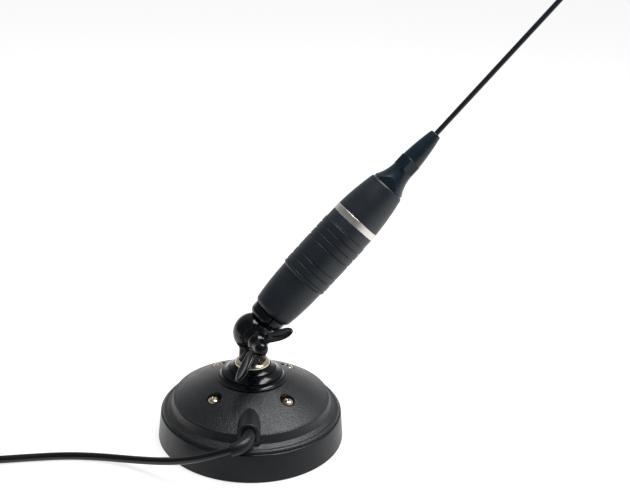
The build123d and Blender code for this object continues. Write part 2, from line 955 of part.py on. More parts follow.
def plug_ring():
    lip_start = plug_rear_length + plug_barrel_length - ring_lip - 0.4
    end = lip_start + ring_length
    blank = turned_points(
        (plug_barrel_radius + pin_gap, lip_start),
        (ring_radius - 1.2, lip_start),
        (ring_radius, lip_start + 1.2),
        (ring_radius, end - 0.6),
        (ring_radius - 0.6, end),
        (ring_thread_radius, end),
        (ring_thread_radius, lip_start + ring_lip),
        (plug_barrel_radius + pin_gap, lip_start + ring_lip),
    )
    flute = rod(ring_flute_radius, lip_start + ring_flute_margin, end - ring_flute_margin)
    flutes = PolarLocations(ring_radius + ring_flute_radius * 0.55, ring_flute_count) * flute
    return on_plug(blank - flutes)


def plug_insulator():
    end = plug_rear_length + plug_barrel_length + plug_flange_length + plug_sleeve_length
    return on_plug(tube(insulator_radius, plug_pin_root_radius + thread_gap, end - insulator_length, end))


def plug_pin():
    end = plug_rear_length + plug_barrel_length + plug_flange_length + plug_sleeve_length
    pin = rod(plug_pin_radius, end, end + plug_pin_reach)
    pin = fillet(pin.edges().group_by(Axis.Z)[-1], plug_pin_round)
    return on_plug(pin + rod(plug_pin_root_radius, end - insulator_length, end))


pieces = {
    "rubber_boot": rubber_boot(),
    "steel_pot": steel_pot(),
    "ring_magnet": ring_magnet(),
    "base_cover": base_cover(),
    "cover_screws": cover_screws(),
    "mount_cone": mount_cone(),
    "mount_nut": mount_nut(),
    "contact_ring": contact_ring(),
    "mount_insulator": mount_insulator(),
    "centre_stud": centre_stud(),
    "stud_nut": stud_nut(),
    "solder_lug": solder_lug(),
    "inner_cable": inner_cable(),
    "cable_boot": cable_boot(),
    "lower_knuckle": lower_knuckle(),
    "friction_disc": friction_disc(),
    "upper_knuckle": upper_knuckle(),
    "spring_washer": spring_washer(),
    "wing_screw": wing_screw(),
    "coil_housing": coil_housing(),
    "trim_ring": trim_ring(),
    "upper_housing": upper_housing(),
    "base_ferrule": base_ferrule(),
    "coil_former": coil_former(),
    "coil_winding": coil_winding(),
    "whip_adaptor": whip_adaptor(),
    "whip_holder": whip_holder(),
    "whip_collet": whip_collet(),
    "whip": whip(),
    "cable_run": cord(cable_points, cable_radius, "cable_run"),
    "cable_coil": cable_coil(),
    "cable_tail": cord(tail_points, cable_radius, "cable_tail"),
    "coil_tie": coil_tie(),
    "plug_body": plug_body(),
    "plug_ring": plug_ring(),
    "plug_insulator": plug_insulator(),
    "plug_pin": plug_pin(),
}

for name, solid in pieces.items():
    export_step(solid, f"parts/{name}.step")
print(len(pieces), "nodes")
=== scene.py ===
# %% [markdown]
# # A mobile radio antenna on a magnetic base
#
# This lesson dresses a small antenna: a round magnet in a rubber boot, a moulded dome, a glossy
# tilting joint with a wing screw, a grooved coil housing and a thin whip, with its lead. The
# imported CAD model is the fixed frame. Every length below is in millimetres unless a line says
# metres, and one factor turns millimetres into Blender's metres.

# %% Load the frame
import json
from functools import partial
from math import atan2, cos, degrees, pi, radians, sin

import bmesh
import bpy
from mathutils import Matrix, Vector


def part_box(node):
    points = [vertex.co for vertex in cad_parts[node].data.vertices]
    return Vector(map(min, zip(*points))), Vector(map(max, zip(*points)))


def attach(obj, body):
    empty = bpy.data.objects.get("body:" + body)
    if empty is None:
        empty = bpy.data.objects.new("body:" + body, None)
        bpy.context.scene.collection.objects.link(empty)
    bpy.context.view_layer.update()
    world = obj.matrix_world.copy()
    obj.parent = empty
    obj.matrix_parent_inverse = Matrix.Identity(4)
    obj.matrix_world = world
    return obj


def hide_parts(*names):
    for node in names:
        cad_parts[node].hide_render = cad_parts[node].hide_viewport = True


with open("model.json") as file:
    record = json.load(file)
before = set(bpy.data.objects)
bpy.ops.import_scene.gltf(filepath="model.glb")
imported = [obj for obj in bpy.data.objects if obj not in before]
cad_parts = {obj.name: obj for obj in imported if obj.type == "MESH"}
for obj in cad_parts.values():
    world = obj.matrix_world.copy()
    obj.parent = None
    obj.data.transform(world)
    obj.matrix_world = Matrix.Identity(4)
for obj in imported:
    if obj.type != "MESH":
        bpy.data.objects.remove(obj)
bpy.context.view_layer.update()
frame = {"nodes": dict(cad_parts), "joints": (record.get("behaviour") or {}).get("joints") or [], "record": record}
nodes = frame["nodes"]
MM = 0.001
for packed_material in list(bpy.data.materials):
    bpy.data.materials.remove(packed_material)

# %% [markdown]
# ## Camera
#
# The photograph was taken from the front left, a little above the base. Its frame is 630 by 490
# pixels, and the rings of the round base fix where the camera stood: they are circles of known
# height, so their ellipses give its place, its turn and its focal length.

# %% Camera
camera_data = bpy.data.cameras.new("camera")
camera_data.sensor_width = 36.0
camera_data.lens = 56.86
camera_data.clip_start = 0.01
camera = bpy.data.objects.new("camera", camera_data)
camera.location = (-0.12844, -0.57934, 0.36204)
camera.rotation_euler = (radians(69.269), radians(-2.179), radians(-15.402))
bpy.context.scene.collection.objects.link(camera)
bpy.context.scene.camera = camera
bpy.context.scene.view_settings.view_transform = "Standard"
print("camera at", [round(value, 3) for value in camera.location], "metres")

# %% [markdown]
# ## The lead
#
# The lead is one coaxial cable, 5 mm thick. It leaves the strain relief, slides over the edge of
# the boot, meets the floor and runs out of the picture on the left. There the rest of it is put
# away in a neat coil, and it ends in a screw plug. A smooth spline with a round bevel is the
# simplest true model of it. The points before and after the coil are the route's own points.

# %% Route of the lead
cable_radius = 2.5
run_points = [
    (-26.5, -63.6, 27.8),
    (-37.0, -60.8, 24.0),
    (-47.0, -55.8, 19.4),
    (-56.3, -49.2, 15.0),
    (-65.6, -41.0, 10.8),
    (-75.8, -31.6, 6.8),
    (-88.2, -22.4, 3.9),
    (-103.5, -14.3, 2.5),
    (-124.0, -8.6, 2.5),
    (-149.0, -6.0, 2.5),
    (-176.0, -4.2, 2.7),
    (-200.0, -1.6, 3.1),
]
tail_points = [
    (-252.0, -28.0, 18.1),
    (-257.2, -40.3, 17.6),
    (-257.9, -53.8, 14.0),
    (-253.5, -66.2, 9.6),
    (-245.6, -77.2, 7.2),
    (-235.0, -84.9, 7.6),
    (-222.5, -88.4, 9.3),
    (-209.5, -88.4, 9.3),
]
coil_centre = (-217.0, -40.0)
turn_radii = (37.5, 32.5, 27.5, 22.5)
layer_heights = (3.1, 8.1, 13.1, 18.1)
points_per_turn = 16
crossing_points = 6
coil_turns = 15.16
coil_middle_radius = 30.0
climb_swell = 1.2
print("the lead has", len(run_points) + len(tail_points), "points outside its coil")

# %% [markdown]
# A wound coil is a stack of flat layers. Each turn keeps its radius for most of its way and slips
# to the next one over the same short arc, so that neighbours stay a cable's width apart. Where a
# layer is full, the cable climbs on to the next layer and swells out of the stack a little,
# because it has to pass round its neighbour.

# %% Turns of the coil
def turn_place(turn):
    """Radius and height of a turn, which goes in on even layers and out on odd ones."""
    layer, step = divmod(turn, len(turn_radii))
    radii = turn_radii if layer % 2 == 0 else turn_radii[::-1]
    return radii[step], layer_heights[min(layer, len(layer_heights) - 1)]


def coil_point(index):
    """Control point on the coil, with the arc that slips to the next turn at the turn's end."""
    turn, step = divmod(index, points_per_turn)
    radius, height = turn_place(turn)
    next_radius, next_height = turn_place(turn + 1)
    share = max(0.0, (step - points_per_turn + crossing_points) / crossing_points)
    swell = climb_swell * sin(pi * share) if next_height > height else 0.0
    outward = 1.0 if radius > coil_middle_radius else -1.0
    reach = radius + (next_radius - radius) * share + outward * swell
    reach /= cos(pi / points_per_turn)
    angle = pi / 2 + 2 * pi * index / points_per_turn
    rise = height + (next_height - height) * share
    return (coil_centre[0] + reach * cos(angle), coil_centre[1] + reach * sin(angle), rise)


coil_points = [coil_point(index) for index in range(int(coil_turns * points_per_turn))]
print("coil:", len(coil_points), "points on", coil_turns, "turns")

# %% Cable
route = run_points + coil_points + tail_points
cable_curve = bpy.data.curves.new("cable", "CURVE")
cable_curve.dimensions = "3D"
spline = cable_curve.splines.new("NURBS")
spline.points.add(len(route) - 1)
for point, (x, y, z) in zip(spline.points, route):
    point.co = (x * MM, y * MM, z * MM, 1.0)
spline.order_u = 3
spline.use_endpoint_u = True
spline.resolution_u = 6
cable_curve.bevel_depth = cable_radius * MM
cable_curve.bevel_resolution = 5
cable_curve.use_fill_caps = True
cable = bpy.data.objects.new("cable", cable_curve)
bpy.context.scene.collection.objects.link(cable)

# %% [markdown]
# ## Helpers for nodes
#
# Materials, light and repeated shapes are all node trees. These helpers add one node at a time,
# so that a formula in the script reads like the formula.

# %% Node helpers
def compute(tree, operation, *values):
    """One math node on sockets or numbers."""
    node = tree.nodes.new("ShaderNodeMath")
    node.operation = operation
    for socket, value in zip(node.inputs, values):
        if isinstance(value, bpy.types.NodeSocket):
            tree.links.new(value, socket)
        else:
            socket.default_value = value
    return node.outputs["Value"]


def add_node(tree, kind, **links):
    """One node with sockets linked or set, where an underscore stands for a space."""
    node = tree.nodes.new(kind)
    for label, value in links.items():
        socket = node.inputs[label.replace("_", " ")]
        if isinstance(value, bpy.types.NodeSocket):
            tree.links.new(value, socket)
        else:
            socket.default_value = value
    return node


def fade(tree, value, start, end, low=0.0, high=1.0):
    """Value that goes from low to high while another goes from start to end."""
    return add_node(
        tree, "ShaderNodeMapRange", Value=value, From_Min=start, From_Max=end, To_Min=low, To_Max=high
    ).outputs["Result"]


# %% [markdown]
# ## Finishes
#
# Nearly everything here is black, so the finishes differ by their gloss and their fine relief.
# One function makes them all: a principled shader whose colour and roughness drift between two
# values over soft patches, with a fine grain in its bump. Sizes of patches and grain are real
# ones in millimetres, on the object's own coordinates. A second function adds the marks of a
# turned surface, as fine rings round an axis.

# %% Finish helpers
patch_start = 0.3
patch_end = 0.7
patch_detail = 6.0
grain_detail = 3.0
coat_roughness = 0.04
ring_stretch = 0.02
ring_detail = 2.0


def finish(name, dark, light, patch, rough, grain, depth, metallic=0.0, coat=0.0, specular=0.5):
    """Material whose colour and roughness drift over patches, with a fine grain in its bump."""
    material = bpy.data.materials.new(name)
    material.use_nodes = True
    tree = material.node_tree
    shader = tree.nodes["Principled BSDF"]
    shader.inputs["Metallic"].default_value = metallic
    shader.inputs["Coat Weight"].default_value = coat
    shader.inputs["Coat Roughness"].default_value = coat_roughness
    shader.inputs["Specular IOR Level"].default_value = specular
    place = add_node(tree, "ShaderNodeTexCoord").outputs["Object"]
    patches = add_node(
        tree, "ShaderNodeTexNoise", Vector=place, Scale=1 / (patch * MM), Detail=patch_detail
    ).outputs["Fac"]
    colours = add_node(tree, "ShaderNodeValToRGB", Fac=patches)
    for stop, position, colour in zip(colours.color_ramp.elements, (patch_start, patch_end), (dark, light)):
        stop.position = position
        stop.color = (*colour, 1)
    gloss = fade(tree, patches, patch_start, patch_end, *rough)
    grains = add_node(
        tree, "ShaderNodeTexNoise", Vector=place, Scale=1 / (grain * MM), Detail=grain_detail
    ).outputs["Fac"]
    bump = add_node(tree, "ShaderNodeBump", Strength=1.0, Distance=depth * MM, Height=grains)
    bump.name = "bump"
    tree.links.new(colours.outputs["Color"], shader.inputs["Base Color"])
    tree.links.new(gloss, shader.inputs["Roughness"])
    tree.links.new(bump.outputs["Normal"], shader.inputs["Normal"])
    return material


def add_rings(material, place, turn, pitch, depth):
    """Turning marks under the grain's bump: fine rings round an axis."""
    tree = material.node_tree
    spot = add_node(tree, "ShaderNodeTexCoord").outputs["Object"]
    centred = add_node(
        tree, "ShaderNodeMapping", Vector=spot, Location=[value * MM for value in place], Rotation=turn
    )
    centred.vector_type = "TEXTURE"
    squeezed = add_node(
        tree, "ShaderNodeMapping", Vector=centred.outputs["Vector"], Scale=(ring_stretch, ring_stretch, 1)
    ).outputs["Vector"]
    marks = add_node(
        tree, "ShaderNodeTexNoise", Vector=squeezed, Scale=1 / (pitch * MM), Detail=ring_detail
    ).outputs["Fac"]
    bump = add_node(tree, "ShaderNodeBump", Distance=depth * MM, Height=marks)
    tree.links.new(bump.outputs["Normal"], tree.nodes["bump"].inputs["Normal"])


# %% [markdown]
# ## The materials themselves
#
# The dome and the coil housing are moulded plastic with a spark-eroded texture, and the boot is
# rubber with a softer one. The joint is cast metal under gloss black paint, with a faint
# orange-peel. The collars and the screws are nickel, a little warm in colour. Each material has
# the name of its slot in the record.

# %% Materials
finish(
    "boot_rubber", dark=(0.004, 0.006, 0.009), light=(0.008, 0.010, 0.013), patch=9.0,
    rough=(0.34, 0.42), grain=0.5, depth=0.03, specular=0.35,
)
finish(
    "cover_plastic", dark=(0.006, 0.0075, 0.010), light=(0.010, 0.012, 0.016), patch=14.0,
    rough=(0.33, 0.41), grain=0.9, depth=0.34, specular=0.5,
)
housing_plastic = finish(
    "housing_plastic", dark=(0.006, 0.013, 0.022), light=(0.010, 0.018, 0.029), patch=11.0,
    rough=(0.44, 0.52), grain=0.4, depth=0.02, specular=0.6,
)
gloss_black = finish(
    "gloss_black_metal", dark=(0.001, 0.0025, 0.004), light=(0.002, 0.004, 0.007), patch=6.0,
    rough=(0.12, 0.18), grain=1.6, depth=0.008, specular=0.35,
)
finish(
    "black_spring_steel", dark=(0.01, 0.01, 0.011), light=(0.03, 0.03, 0.032), patch=1.5,
    rough=(0.3, 0.45), grain=0.2, depth=0.01, metallic=0.6,
)
satin_metal = finish(
    "satin_black_metal", dark=(0.006, 0.016, 0.028), light=(0.010, 0.022, 0.036), patch=7.0,
    rough=(0.28, 0.36), grain=0.25, depth=0.006, specular=0.4,
)
finish(
    "whip_coat", dark=(0.006, 0.010, 0.016), light=(0.010, 0.016, 0.024), patch=12.0,
    rough=(0.3, 0.4), grain=0.2, depth=0.006, specular=0.4,
)
finish(
    "relief_rubber", dark=(0.005, 0.007, 0.009), light=(0.009, 0.011, 0.014), patch=5.0,
    rough=(0.34, 0.42), grain=0.4, depth=0.02, specular=0.4,
)
cable_jacket = finish(
    "cable_jacket", dark=(0.003, 0.004, 0.006), light=(0.005, 0.006, 0.009), patch=16.0,
    rough=(0.16, 0.24), grain=0.5, depth=0.006, specular=0.5,
)
nickel = finish(
    "nickel", dark=(0.62, 0.52, 0.42), light=(0.80, 0.70, 0.59), patch=5.0,
    rough=(0.18, 0.28), grain=0.3, depth=0.003, metallic=1.0,
)
bright_steel = finish(
    "bright_steel", dark=(0.66, 0.54, 0.43), light=(0.88, 0.77, 0.65), patch=2.0,
    rough=(0.12, 0.22), grain=0.2, depth=0.006, metallic=1.0,
)
silver_band = finish(
    "silver_band", dark=(0.68, 0.66, 0.62), light=(0.80, 0.78, 0.75), patch=8.0,
    rough=(0.40, 0.48), grain=0.25, depth=0.002, metallic=1.0,
)
finish(
    "zinc_steel", dark=(0.36, 0.37, 0.36), light=(0.56, 0.56, 0.52), patch=3.0,
    rough=(0.3, 0.5), grain=0.4, depth=0.01, metallic=1.0,
)
finish(
    "ferrite", dark=(0.03, 0.03, 0.032), light=(0.06, 0.06, 0.062), patch=2.5,
    rough=(0.55, 0.75), grain=0.3, depth=0.02,
)
finish(
    "nylon", dark=(0.62, 0.60, 0.53), light=(0.72, 0.70, 0.63), patch=6.0,
    rough=(0.35, 0.5), grain=0.5, depth=0.01,
)
finish(
    "brass", dark=(0.56, 0.38, 0.15), light=(0.72, 0.53, 0.24), patch=4.0,
    rough=(0.18, 0.34), grain=0.3, depth=0.005, metallic=1.0,
)
finish(
    "tinned_brass", dark=(0.50, 0.49, 0.45), light=(0.66, 0.65, 0.61), patch=3.0,
    rough=(0.28, 0.42), grain=0.3, depth=0.01, metallic=1.0,
)
finish(
    "fibre", dark=(0.10, 0.025, 0.012), light=(0.17, 0.05, 0.025), patch=1.2,
    rough=(0.5, 0.7), grain=0.25, depth=0.02,
)
finish(
    "former_plastic", dark=(0.50, 0.47, 0.37), light=(0.60, 0.57, 0.46), patch=8.0,
    rough=(0.35, 0.5), grain=0.5, depth=0.01,
)
copper = finish(
    "copper", dark=(0.42, 0.12, 0.04), light=(0.60, 0.21, 0.09), patch=3.0,
    rough=(0.2, 0.3), grain=0.3, depth=0.004, metallic=1.0, coat=0.6,
)
finish(
    "tie_rubber", dark=(0.010, 0.010, 0.010), light=(0.018, 0.018, 0.018), patch=4.0,
    rough=(0.6, 0.75), grain=0.25, depth=0.02,
)
print("materials:", len(bpy.data.materials))

# %% [markdown]
# The nickel was turned about the base's axis. The band and the whip's holder were turned about
# the antenna's axis, which leans at rest. The frame's sliding joint says how far.

# %% Turning marks
hinge_height = 75.0
slide_axis = next(joint["axis"] for joint in frame["joints"] if joint["name"] == "whip_slide")
rest_tilt = atan2(slide_axis[0], slide_axis[2])
hinge_place = (0, 0, hinge_height)
antenna_turn = (0, rest_tilt, 0)
add_rings(nickel, (0, 0, 0), (0, 0, 0), pitch=0.12, depth=0.004)
add_rings(silver_band, hinge_place, antenna_turn, pitch=0.1, depth=0.002)
add_rings(satin_metal, hinge_place, antenna_turn, pitch=0.15, depth=0.004)
print("the antenna leans", round(degrees(rest_tilt), 2), "degrees")

# %% [markdown]
# The CAD pieces whose shape is right stay as they are. Each takes its finish from the table of
# the record, which names a material slot for every node, so a loop over that table dresses them.

# %% Dress the CAD pieces
for subpart in frame["record"]["subparts"]:
    slots = nodes[subpart["node"]].data.materials
    slots.clear()
    slots.append(bpy.data.materials[subpart["material_slot"]])
cable.data.materials.append(cable_jacket)

# %% [markdown]
# ## Helpers for turned pieces
#
# Much of this object was turned on a lathe or moulded round. A turned piece is an outline of
# radius and height, joined up ring by ring. The outline of a hollow piece runs up its outside and
# back down its inside, so that the mesh is closed. Each piece is made upright at the origin, and
# its place goes into its mesh.

# %% Turned meshes
merge_distance = 0.001


def lathe(name, outline, sides):
    """Closed mesh turned about Z from a closed outline of (radius, height) in millimetres."""
    shape = bmesh.new()
    turns = [2 * pi * side / sides for side in range(sides)]
    rings = []
    for radius, height in outline:
        ring = [(radius * cos(turn) * MM, radius * sin(turn) * MM, height * MM) for turn in turns]
        rings.append([shape.verts.new(point) for point in ring])
    for ring, upper in zip(rings, rings[1:] + rings[:1]):
        for side in range(sides):
            following = (side + 1) % sides
            shape.faces.new((ring[side], ring[following], upper[following], upper[side]))
    bmesh.ops.remove_doubles(shape, verts=shape.verts, dist=merge_distance * MM)
    bmesh.ops.recalc_face_normals(shape, faces=shape.faces)
    return new_object(name, shape)


def new_object(name, shape):
    """Object with smooth faces from a finished bmesh."""
    mesh = bpy.data.meshes.new(name)
    for face in shape.faces:
        face.smooth = True
    shape.to_mesh(mesh)
    shape.free()
    made = bpy.data.objects.new(name, mesh)
    bpy.context.scene.collection.objects.link(made)
    return made


def settle(made):
    """Turn an object's modifiers into its own plain mesh."""
    graph = bpy.context.evaluated_depsgraph_get()
    graph.update()
    mesh = bpy.data.meshes.new_from_object(made.evaluated_get(graph))
    made.modifiers.clear()
    made.data = mesh
    return made


def dress(made, material, place, body, *stands_for):
    """Place a finished piece, give it its material and let it ride on its body."""
    made.data.transform(place)
    made.data.materials.clear()
    made.data.materials.append(material)
    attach(made, body)
    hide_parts(*stands_for)
    print(made.name, "has", len(made.data.polygons), "faces")


def stepped(low, high, step):
    """Even heights between two, both included."""
    count = round((high - low) / step)
    return [low + (high - low) * index / count for index in range(count + 1)]


on_base = Matrix.Identity(4)
at_hinge = Matrix.Translation((0, 0, hinge_height * MM))
on_antenna = at_hinge @ Matrix.Rotation(rest_tilt, 4, "Y")
on_hinge = at_hinge @ Matrix.Rotation(pi / 2, 4, "X")
on_plug = Matrix.Translation(Vector(tail_points[-1]) * MM) @ Matrix.Rotation(pi / 2, 4, "Y")
print("the hinge is", hinge_height, "mm above the floor")

# %% [markdown]
# ## Helpers for Geometry Nodes
#
# Grooves, flutes, screws on a circle and wound wire all follow a rule, so Geometry Nodes make
# them. Each tree has named sizes, which its modifier sets before the first evaluation. Grooves
# and flutes are both pressed into a turned skin, so they share the step that moves a point
# towards the axis.

# %% Geometry trees
def new_tree(name, sizes):
    """Geometry tree with a named input for each size."""
    tree = bpy.data.node_groups.new(name, "GeometryNodeTree")
    tree.interface.new_socket("Geometry", in_out="INPUT", socket_type="NodeSocketGeometry")
    for label, value in sizes.items():
        kind = "NodeSocketInt" if isinstance(value, int) else "NodeSocketFloat"
        tree.interface.new_socket(label, in_out="INPUT", socket_type=kind)
    tree.interface.new_socket("Geometry", in_out="OUTPUT", socket_type="NodeSocketGeometry")
    sizes_in = tree.nodes.new("NodeGroupInput").outputs
    return tree, sizes_in


def vector_math(tree, operation, vector):
    """Vector math node whose first input is the given vector."""
    node = tree.nodes.new("ShaderNodeVectorMath")
    node.operation = operation
    tree.links.new(vector, node.inputs[0])
    return node


def about_axis(tree):
    """A point's coordinates, its vector from the Z axis and its distance from that axis."""
    position = add_node(tree, "GeometryNodeInputPosition").outputs["Position"]
    parts = add_node(tree, "ShaderNodeSeparateXYZ", Vector=position).outputs
    flat = add_node(tree, "ShaderNodeCombineXYZ", X=parts["X"], Y=parts["Y"]).outputs["Vector"]
    return parts, flat, vector_math(tree, "LENGTH", flat).outputs["Value"]


def press_inward(tree, geometry, flat, distance, depth, chosen):
    """Geometry whose chosen points have moved towards the Z axis by a depth."""
    ratio = compute(tree, "DIVIDE", depth, distance)
    inward = vector_math(tree, "SCALE", flat)
    tree.links.new(compute(tree, "MULTIPLY", ratio, -1.0), inward.inputs["Scale"])
    offset = inward.outputs["Vector"]
    pressed = add_node(tree, "GeometryNodeSetPosition", Geometry=geometry, Selection=chosen, Offset=offset)
    return pressed.outputs["Geometry"]


def end_tree(tree, geometry, material):
    """Realize what was made and give it its material."""
    real = add_node(tree, "GeometryNodeRealizeInstances", Geometry=geometry)
    painted = add_node(tree, "GeometryNodeSetMaterial", Geometry=real.outputs["Geometry"], Material=material)
    output = tree.nodes.new("NodeGroupOutput")
    tree.links.new(painted.outputs["Geometry"], output.inputs["Geometry"])
    print("the tree", tree.name, "has", len(tree.nodes), "nodes")


def grow(made, tree, sizes):
    """Run a tree on an object with its named sizes, and keep the result as a plain mesh."""
    modifier = made.modifiers.new(tree.name, "NODES")
    modifier.node_group = tree
    for item in tree.interface.items_tree:
        if item.in_out == "INPUT" and item.name in sizes:
            modifier[item.identifier] = sizes[item.name]
    return settle(made)


# %% [markdown]
# ## Coil housing
#
# The loading coil sits in a tapered plastic housing with two groups of turned grooves. The
# outline gives the taper, the step up to the ribbed part and the plain neck under the band, and
# it has close rings wherever a groove may fall. The tree then presses each groove in by its rule:
# it finds the nearest groove's middle from the first one and the pitch, and moves the skin inward
# by half an ellipse. So the grooves can be moved or counted anew without touching the outline.

# %% Housing outline
housing_foot = 18.0
flank_start = (13.7, 19.9)
flank_end = (15.75, 48.2)
flank_swelling = 2.1
flank_step = 1 / 16
rib_radius = 16.7
grooved_bands = ((50.0, 64.0), (72.0, 90.2))
ring_gap = 0.1


def flank_point(share):
    """Point on the swelling lower flank, which leans out at its foot and ends upright."""
    radius = flank_start[0] + (flank_end[0] - flank_start[0]) * (1 - (1 - share) ** flank_swelling)
    return (radius, flank_start[1] + (flank_end[1] - flank_start[1]) * share)


housing_outline = [(8.1, housing_foot), (12.0, housing_foot), (12.4, housing_foot + 0.15)]
housing_outline += [flank_point(share) for share in stepped(0.0, 1.0, flank_step)]
housing_outline += [(15.75, 48.5), (15.8, 48.7), (16.4, 49.5), (16.55, 49.65), (16.65, 49.8)]
for low, high in grooved_bands:
    housing_outline += [(rib_radius, height) for height in stepped(low, high, ring_gap)]
housing_outline += [(16.65, 90.35), (16.5, 90.45), (16.3, 90.55), (16.25, 90.7), (16.25, 96.8)]
housing_outline += [(16.15, 97.1), (13.6, 97.1), (13.6, 36.0), (11.6, 33.0), (11.6, 20.0), (8.1, 20.0)]
print("the housing's outline has", len(housing_outline), "points")

# %% Groove tree
groove_sizes = {
    "First": 51.9 * MM,
    "Count": 3,
    "Second": 74.3 * MM,
    "Second count": 4,
    "Pitch": 5.25 * MM,
    "Width": 0.95 * MM,
    "Depth": 0.5 * MM,
    "Skin": 16.6 * MM,
}
groove_tree, sizes_in = new_tree("grooves", groove_sizes)
calc = partial(compute, groove_tree)
parts, flat, distance = about_axis(groove_tree)
bites = []
for first, count in (("First", "Count"), ("Second", "Second count")):
    along = calc("SUBTRACT", parts["Z"], sizes_in[first])
    last = calc("SUBTRACT", sizes_in[count], 1.0)
    index = calc("ROUND", calc("DIVIDE", along, sizes_in["Pitch"]))
    index = calc("MINIMUM", calc("MAXIMUM", index, 0.0), last)
    off = calc("SUBTRACT", along, calc("MULTIPLY", index, sizes_in["Pitch"]))
    share = calc("DIVIDE", calc("MULTIPLY", off, 2.0), sizes_in["Width"])
    rest = calc("SUBTRACT", 1.0, calc("MULTIPLY", share, share))
    bites.append(calc("SQRT", calc("MAXIMUM", rest, 0.0)))
sunk = calc("MULTIPLY", calc("ADD", *bites), sizes_in["Depth"])
on_skin = calc("GREATER_THAN", distance, sizes_in["Skin"])
grooved = press_inward(groove_tree, sizes_in["Geometry"], flat, distance, sunk, on_skin)
end_tree(groove_tree, grooved, housing_plastic)

# %% Housing
housing = grow(lathe("grooved_housing", housing_outline, sides=192), groove_tree, groove_sizes)
dress(housing, housing_plastic, on_antenna, "antenna", "coil_housing")

# %% [markdown]
# ## Cover screws
#
# Four pan-head screws with a cross recess hold the dome. One is modelled: a turned head and
# shank, a tapered cross that is cut out of it, and a small bevel on the cut's edges. The tree sets
# a copy on each corner of a circle, and turns each by a random angle from a fixed seed, because
# nobody lines up the slots of screws.

# %% One screw
head_radius = 3.75
head_edge = 0.9
head_dome = 2.0
dome_shares = stepped(0.15, 1.0, 0.085)
screw_outline = [(0, -22.5), (0.4, -22.5), (1.95, -19.5), (1.95, -0.2), (2.1, 0), (3.5, 0), (3.7, 0.15)]
screw_outline += [(head_radius, 0.45), (head_radius, head_edge)]
for share in dome_shares:
    angle = share * pi / 2
    screw_outline.append((head_radius * cos(angle), head_edge + head_dome * sin(angle)))
screw = lathe("cover_screw", screw_outline, sides=64)
print("a plain screw has", len(screw.data.polygons), "faces")

# %% Cross recess
recess_size = (5.0, 1.15, 2.3)
recess_middle = 2.45
recess_taper = 0.45
punch_shape = bmesh.new()
for turn in (0.0, pi / 2):
    for vert in bmesh.ops.create_cube(punch_shape, size=1.0)["verts"]:
        taper = 1.0 if vert.co.z > 0 else recess_taper
        long = vert.co.x * recess_size[0] * taper
        wide = vert.co.y * recess_size[1] * (0.5 + taper / 2)
        high = recess_middle + vert.co.z * recess_size[2]
        vert.co = Matrix.Rotation(turn, 3, "Z") @ Vector((long, wide, high)) * MM
punch = new_object("cross_punch", punch_shape)
cut = screw.modifiers.new("recess", "BOOLEAN")
cut.operation = "DIFFERENCE"
cut.solver = "EXACT"
cut.use_self = True
cut.object = punch
soften = screw.modifiers.new("edges", "BEVEL")
soften.width = 0.1 * MM
soften.segments = 2
soften.angle_limit = radians(40)
settle(screw)
bpy.data.objects.remove(punch)
print("with its recess it has", len(screw.data.polygons), "faces")

# %% [markdown]
# The random node has its sockets for plain numbers after those for vectors: the fourth input is
# the greatest number, and the second output is the number drawn.

# %% Screw circle tree
screw_sizes = {
    "Screws": 4,
    "Circle": 33.6 * MM,
    "Height": 35.9 * MM,
    "First angle": radians(31.0),
    "Seed": 7,
}
screw_tree, sizes_in = new_tree("screw_circle", screw_sizes)
corners = add_node(
    screw_tree, "GeometryNodeMeshCircle", Vertices=sizes_in["Screws"], Radius=sizes_in["Circle"]
)
lift = add_node(screw_tree, "ShaderNodeCombineXYZ", Z=sizes_in["Height"])
spin = add_node(screw_tree, "ShaderNodeCombineXYZ", Z=sizes_in["First angle"])
spun = add_node(
    screw_tree,
    "GeometryNodeTransform",
    Geometry=corners.outputs["Mesh"],
    Translation=lift.outputs["Vector"],
    Rotation=spin.outputs["Vector"],
)
random_turn = add_node(screw_tree, "FunctionNodeRandomValue", Seed=sizes_in["Seed"])
random_turn.data_type = "FLOAT"
greatest, drawn = random_turn.inputs[3], random_turn.outputs[1]
greatest.default_value = pi / 2
turned = add_node(screw_tree, "ShaderNodeCombineXYZ", Z=drawn)
pattern = add_node(screw_tree, "GeometryNodeObjectInfo", Object=screw)
copies = add_node(
    screw_tree,
    "GeometryNodeInstanceOnPoints",
    Points=spun.outputs["Geometry"],
    Instance=pattern.outputs["Geometry"],
    Rotation=turned.outputs["Vector"],
)
end_tree(screw_tree, copies.outputs["Instances"], bright_steel)

# %% Screws
screws = grow(new_object("screws", bmesh.new()), screw_tree, screw_sizes)
bpy.data.objects.remove(screw)
dress(screws, bright_steel, on_base, "base", "cover_screws")

# %% [markdown]
# ## Wing screw
#
# The wing screw is a casting: a barrel-shaped hub with a smaller round end, two flared wings with
# raised rims and dished faces, and soft fillets where they meet. Modelling those fillets edge by
# edge is slow, so the piece is cast as a real one would be: the hub, the shank and two subdivided
# paddles overlap, a voxel remesh melts them into one skin, and a smoothing pass rounds the joints
# as paint does.
#
# A paddle has three loops of points on each face: the floor of the dish, its raised rim and the
# wing's outer edge. Each loop lies at its own level from the wing's middle plane, and is drawn a
# little towards the dish's centre.

